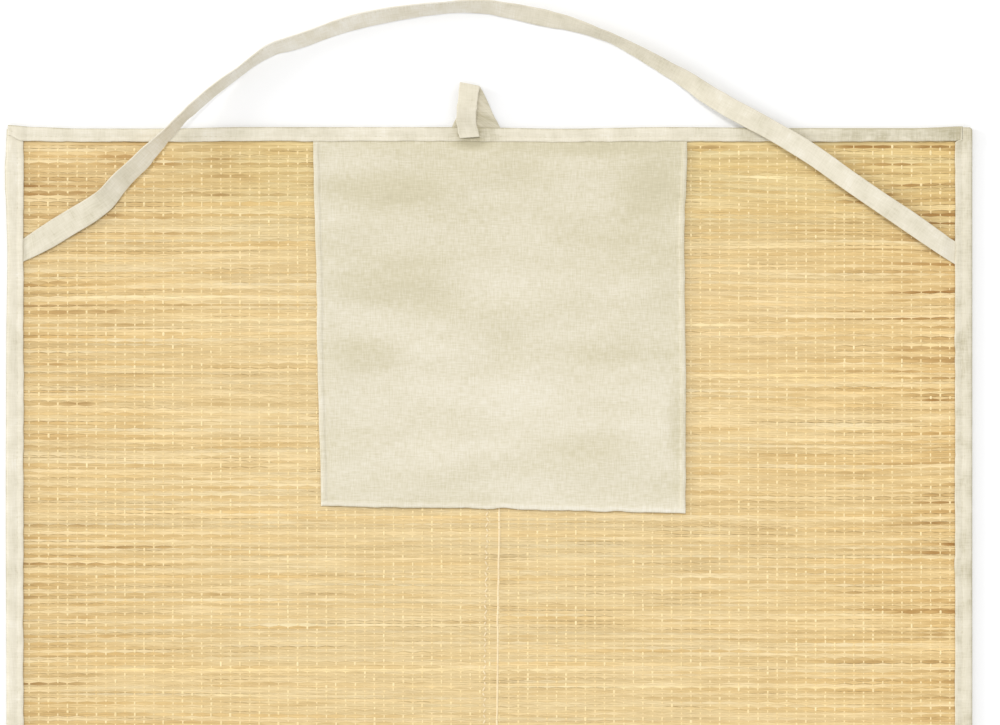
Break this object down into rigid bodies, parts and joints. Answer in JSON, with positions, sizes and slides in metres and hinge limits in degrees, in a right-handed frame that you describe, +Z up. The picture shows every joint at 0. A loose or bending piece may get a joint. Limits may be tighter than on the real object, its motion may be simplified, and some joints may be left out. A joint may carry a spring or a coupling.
{
  "type": "straw beach mat",
  "caption": "Woven straw beach mat, bound with cotton tape, with a cotton panel at the head end, a shoulder strap and a hanging loop.",
  "frame": {"origin": "middle of the straw sheet's underside, on the surface that the mat lies on", "axes": "+X across the mat to the right as seen from above with the head end at the top, +Y along the mat to the head end, +Z up"},
  "size_m": [0.6012, 1.8785, 0.0169],
  "materials": {
    "straw": "woven straw in light and dark bands, satin",
    "cotton_tape": "unbleached cotton tape, matt",
    "cotton_panel": "unbleached plain-weave cotton, matt"
  },
  "bodies": {
    "root": {"straw_mat": "straw", "binding_left": "cotton_tape", "binding_right": "cotton_tape", "binding_head": "cotton_tape", "binding_foot": "cotton_tape", "pillow_panel": "cotton_panel", "shoulder_strap": "cotton_tape", "hanging_loop": "cotton_tape"}
  },
  "joints": []
}
